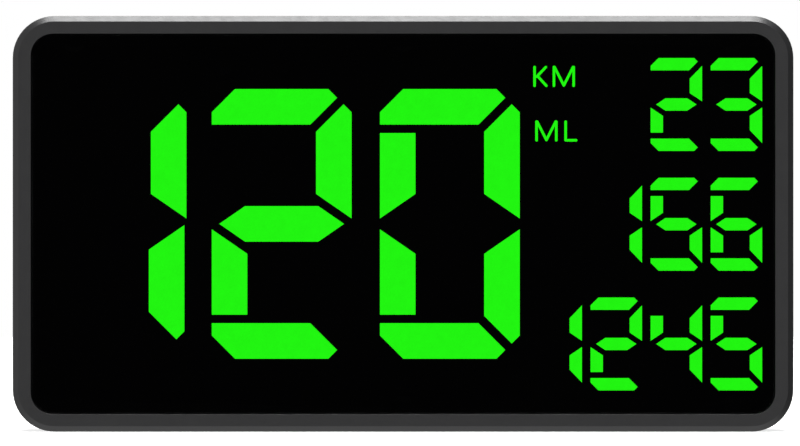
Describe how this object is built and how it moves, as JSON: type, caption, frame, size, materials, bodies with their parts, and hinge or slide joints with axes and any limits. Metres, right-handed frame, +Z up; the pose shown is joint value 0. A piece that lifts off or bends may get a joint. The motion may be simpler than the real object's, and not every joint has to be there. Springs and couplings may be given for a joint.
{
  "type": "dashboard speed display",
  "caption": "Flat segment speed display with a dark lens, a solar charging panel on its back, side controls and a friction-hinged weighted foot.",
  "frame": {"origin": "under the middle of the whole object's box, on the surface it stands on", "axes": "+X to the right across the front, +Y from the display face to the back of the foot, +Z up"},
  "size_m": [0.1306, 0.067, 0.0695],
  "materials": {
    "case_plastic": "satin",
    "smoked_lens": "gloss",
    "black_adhesive": "matte",
    "black_reflector": "matte",
    "lit_segment": "satin",
    "lit_legend": "satin",
    "dark_segment": "satin",
    "lamp_chip": "satin",
    "board_laminate": "satin",
    "chip_black": "matte",
    "ferrite": "matte",
    "plated_steel": "satin",
    "connector_nylon": "satin",
    "aluminium_can": "satin",
    "sensor_clear": "gloss",
    "antenna_ceramic": "matte",
    "solder": "satin",
    "white_tape": "matte",
    "battery_pouch": "satin",
    "lead_red": "satin",
    "panel_board": "satin",
    "silicon": "satin",
    "panel_glaze": "gloss",
    "socket_plastic": "matte",
    "control_plastic": "satin",
    "black_screw": "satin",
    "weight_steel": "satin",
    "grip_rubber": "matte",
    "washer_nylon": "satin"
  },
  "bodies": {
    "foot": {"foot_plate": "case_plastic", "foot_weight": "weight_steel", "foot_pad": "grip_rubber", "hinge_pins": "plated_steel", "hinge_nuts": "plated_steel", "friction_washers": "washer_nylon"},
    "head": {"front_bezel": "case_plastic", "rear_cover": "case_plastic", "display_lens": "smoked_lens", "lens_tape": "black_adhesive", "segment_reflector": "black_reflector", "speed_segments": "lit_segment", "upper_segments": "lit_segment", "middle_segments": "lit_segment", "lower_segments": "lit_segment", "unit_legends": "lit_legend", "dark_segments": "dark_segment", "segment_lamps": "lamp_chip", "main_board": "board_laminate", "processor_chip": "chip_black", "lamp_driver_chips": "chip_black", "charger_chip": "chip_black", "power_inductor": "ferrite", "clock_crystal": "plated_steel", "receiver_module": "plated_steel", "antenna_board": "board_laminate", "battery_connector": "connector_nylon", "solar_connector": "connector_nylon", "capacitors": "aluminium_can", "light_sensor": "sensor_clear", "board_screws": "plated_steel", "patch_antenna": "antenna_ceramic", "antenna_feed": "solder", "battery_tape": "white_tape", "battery_cell": "battery_pouch", "buzzer": "chip_black", "battery_leads": "lead_red", "solar_leads": "lead_red", "solar_tape": "white_tape", "solar_board": "panel_board", "solar_cells": "silicon", "solar_ribbons": "solder", "solar_glaze": "panel_glaze", "socket_shell": "plated_steel", "socket_insert": "socket_plastic", "jog_switch_body": "plated_steel", "power_switch_body": "plated_steel", "case_screws": "black_screw"},
    "jog_carrier": {"jog_carrier": "socket_plastic"},
    "jog_lever": {"jog_lever": "control_plastic"},
    "power_knob": {"power_knob": "control_plastic"}
  },
  "joints": [
    {"name": "head_tilt", "type": "hinge", "parent": "foot", "child": "head", "pos_m": [0, -0.0115, 0.0055], "axis": [-1, 0, 0], "range_deg": [0, 90]},
    {"name": "jog_press", "type": "slide", "parent": "head", "child": "jog_carrier", "axis": [-1, 0, 0], "range_m": [0, 0.0005], "stiffness_N_per_m": 1000, "springref_m": -0.0005},
    {"name": "jog_tilt", "type": "hinge", "parent": "jog_carrier", "child": "jog_lever", "pos_m": [0.0578, -0.0244, 0.04275], "axis": [0, 1, 0], "range_deg": [-10, 10], "stiffness_Nm_per_rad": 0.045},
    {"name": "power_slide", "type": "slide", "parent": "head", "child": "power_knob", "axis": [0, 0, 1], "range_m": [-0.0025, 0]}
  ]
}
